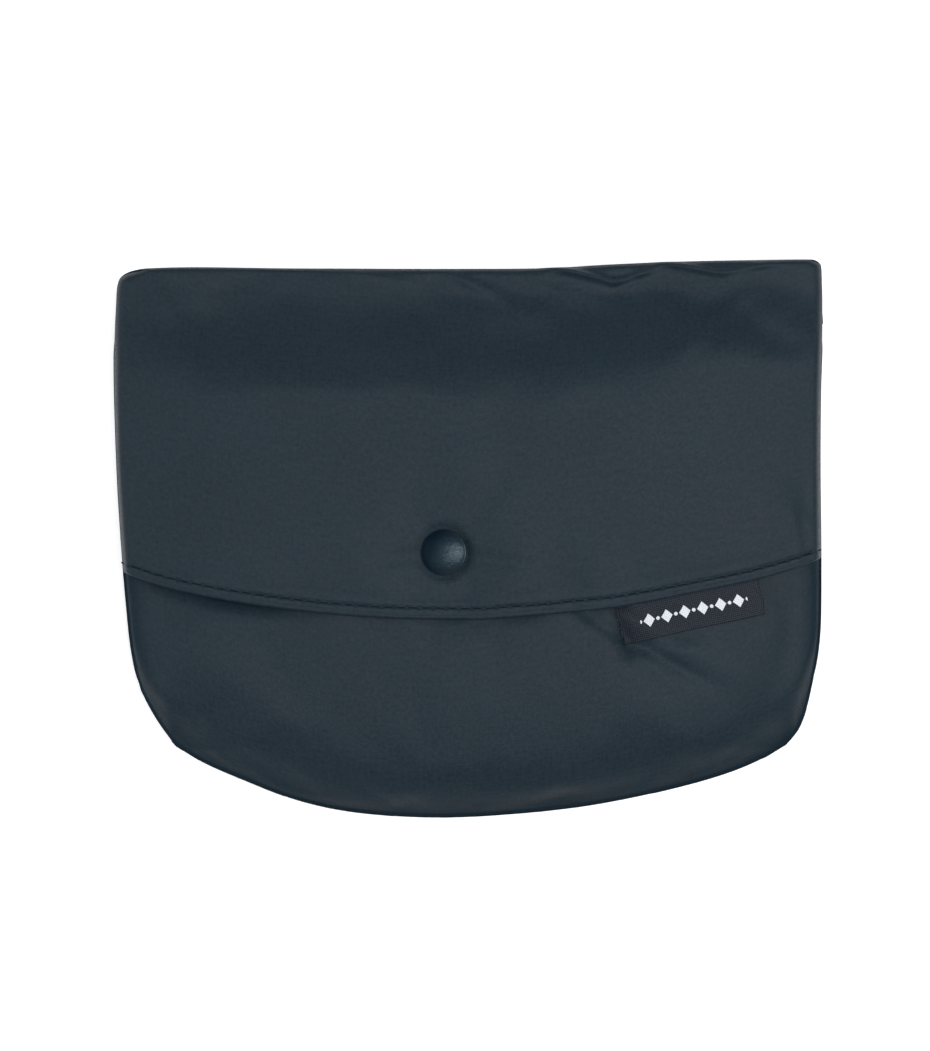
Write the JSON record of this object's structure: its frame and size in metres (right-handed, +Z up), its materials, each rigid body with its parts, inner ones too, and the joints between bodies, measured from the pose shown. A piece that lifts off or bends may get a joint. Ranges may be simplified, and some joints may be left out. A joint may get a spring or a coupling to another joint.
{
  "type": "snap-flap fabric pouch",
  "caption": "Small flat dark blue-grey fabric pouch lying on its back, with a full-width fold-over flap, a press-snap closure and a folded woven tab under the hem.",
  "frame": {"origin": "middle of the bounding box's underside, on the surface that the pouch lies on", "axes": "+Z up out of the front of the pouch, +Y from its bottom towards the flap's fold, +X to the right seen from above"},
  "size_m": [0.2352, 0.1848, 0.0346],
  "materials": {
    "shell_fabric": "fine plain weave, dark blue-grey, faint sheen",
    "lining_fabric": "fine plain weave, matt",
    "interlining": "non-woven felt",
    "binding_tape": "ribbed woven tape",
    "thread": "twisted polyester",
    "snap_metal": "plated",
    "snap_enamel": "dark blue gloss lacquer",
    "label_weave": "satin weave"
  },
  "bodies": {
    "pouch": {"front_panel": "shell_fabric", "back_panel": "shell_fabric", "seam_binding": "binding_tape", "mouth_stitch": "thread", "mouth_bartacks": "thread", "flap_attach_stitch": "thread", "stud_patch": "lining_fabric", "stud_patch_stitch": "thread", "snap_stud": "snap_metal", "snap_stud_post": "snap_metal"},
    "flap_spine": {"flap_spine_outer": "shell_fabric", "flap_spine_facing": "lining_fabric"},
    "flap": {"flap_facing": "lining_fabric", "flap_interlining": "interlining", "flap_outer": "shell_fabric", "flap_topstitch": "thread", "snap_cap": "snap_enamel", "snap_socket": "snap_metal", "snap_spring": "snap_metal"},
    "label": {"label": "label_weave"}
  },
  "joints": [
    {"name": "back_crease", "type": "hinge", "parent": "pouch", "child": "flap_spine", "pos_m": [0, 0.0924, 0.00165], "axis": [-1, 0, 0], "range_deg": [0, 75]},
    {"name": "top_crease", "type": "hinge", "parent": "flap_spine", "child": "flap", "pos_m": [0, 0.0924, 0.01065], "axis": [-1, 0, 0], "range_deg": [0, 75]},
    {"name": "label_lift", "type": "hinge", "parent": "flap", "child": "label", "pos_m": [0.07366, -0.01862, 0.029], "axis": [-0.9811, -0.1907, 0.0334], "range_deg": [0, 85]}
  ],
  "couplings": [
    {"joint": "top_crease", "follows": "back_crease", "ratio": 1}
  ]
}
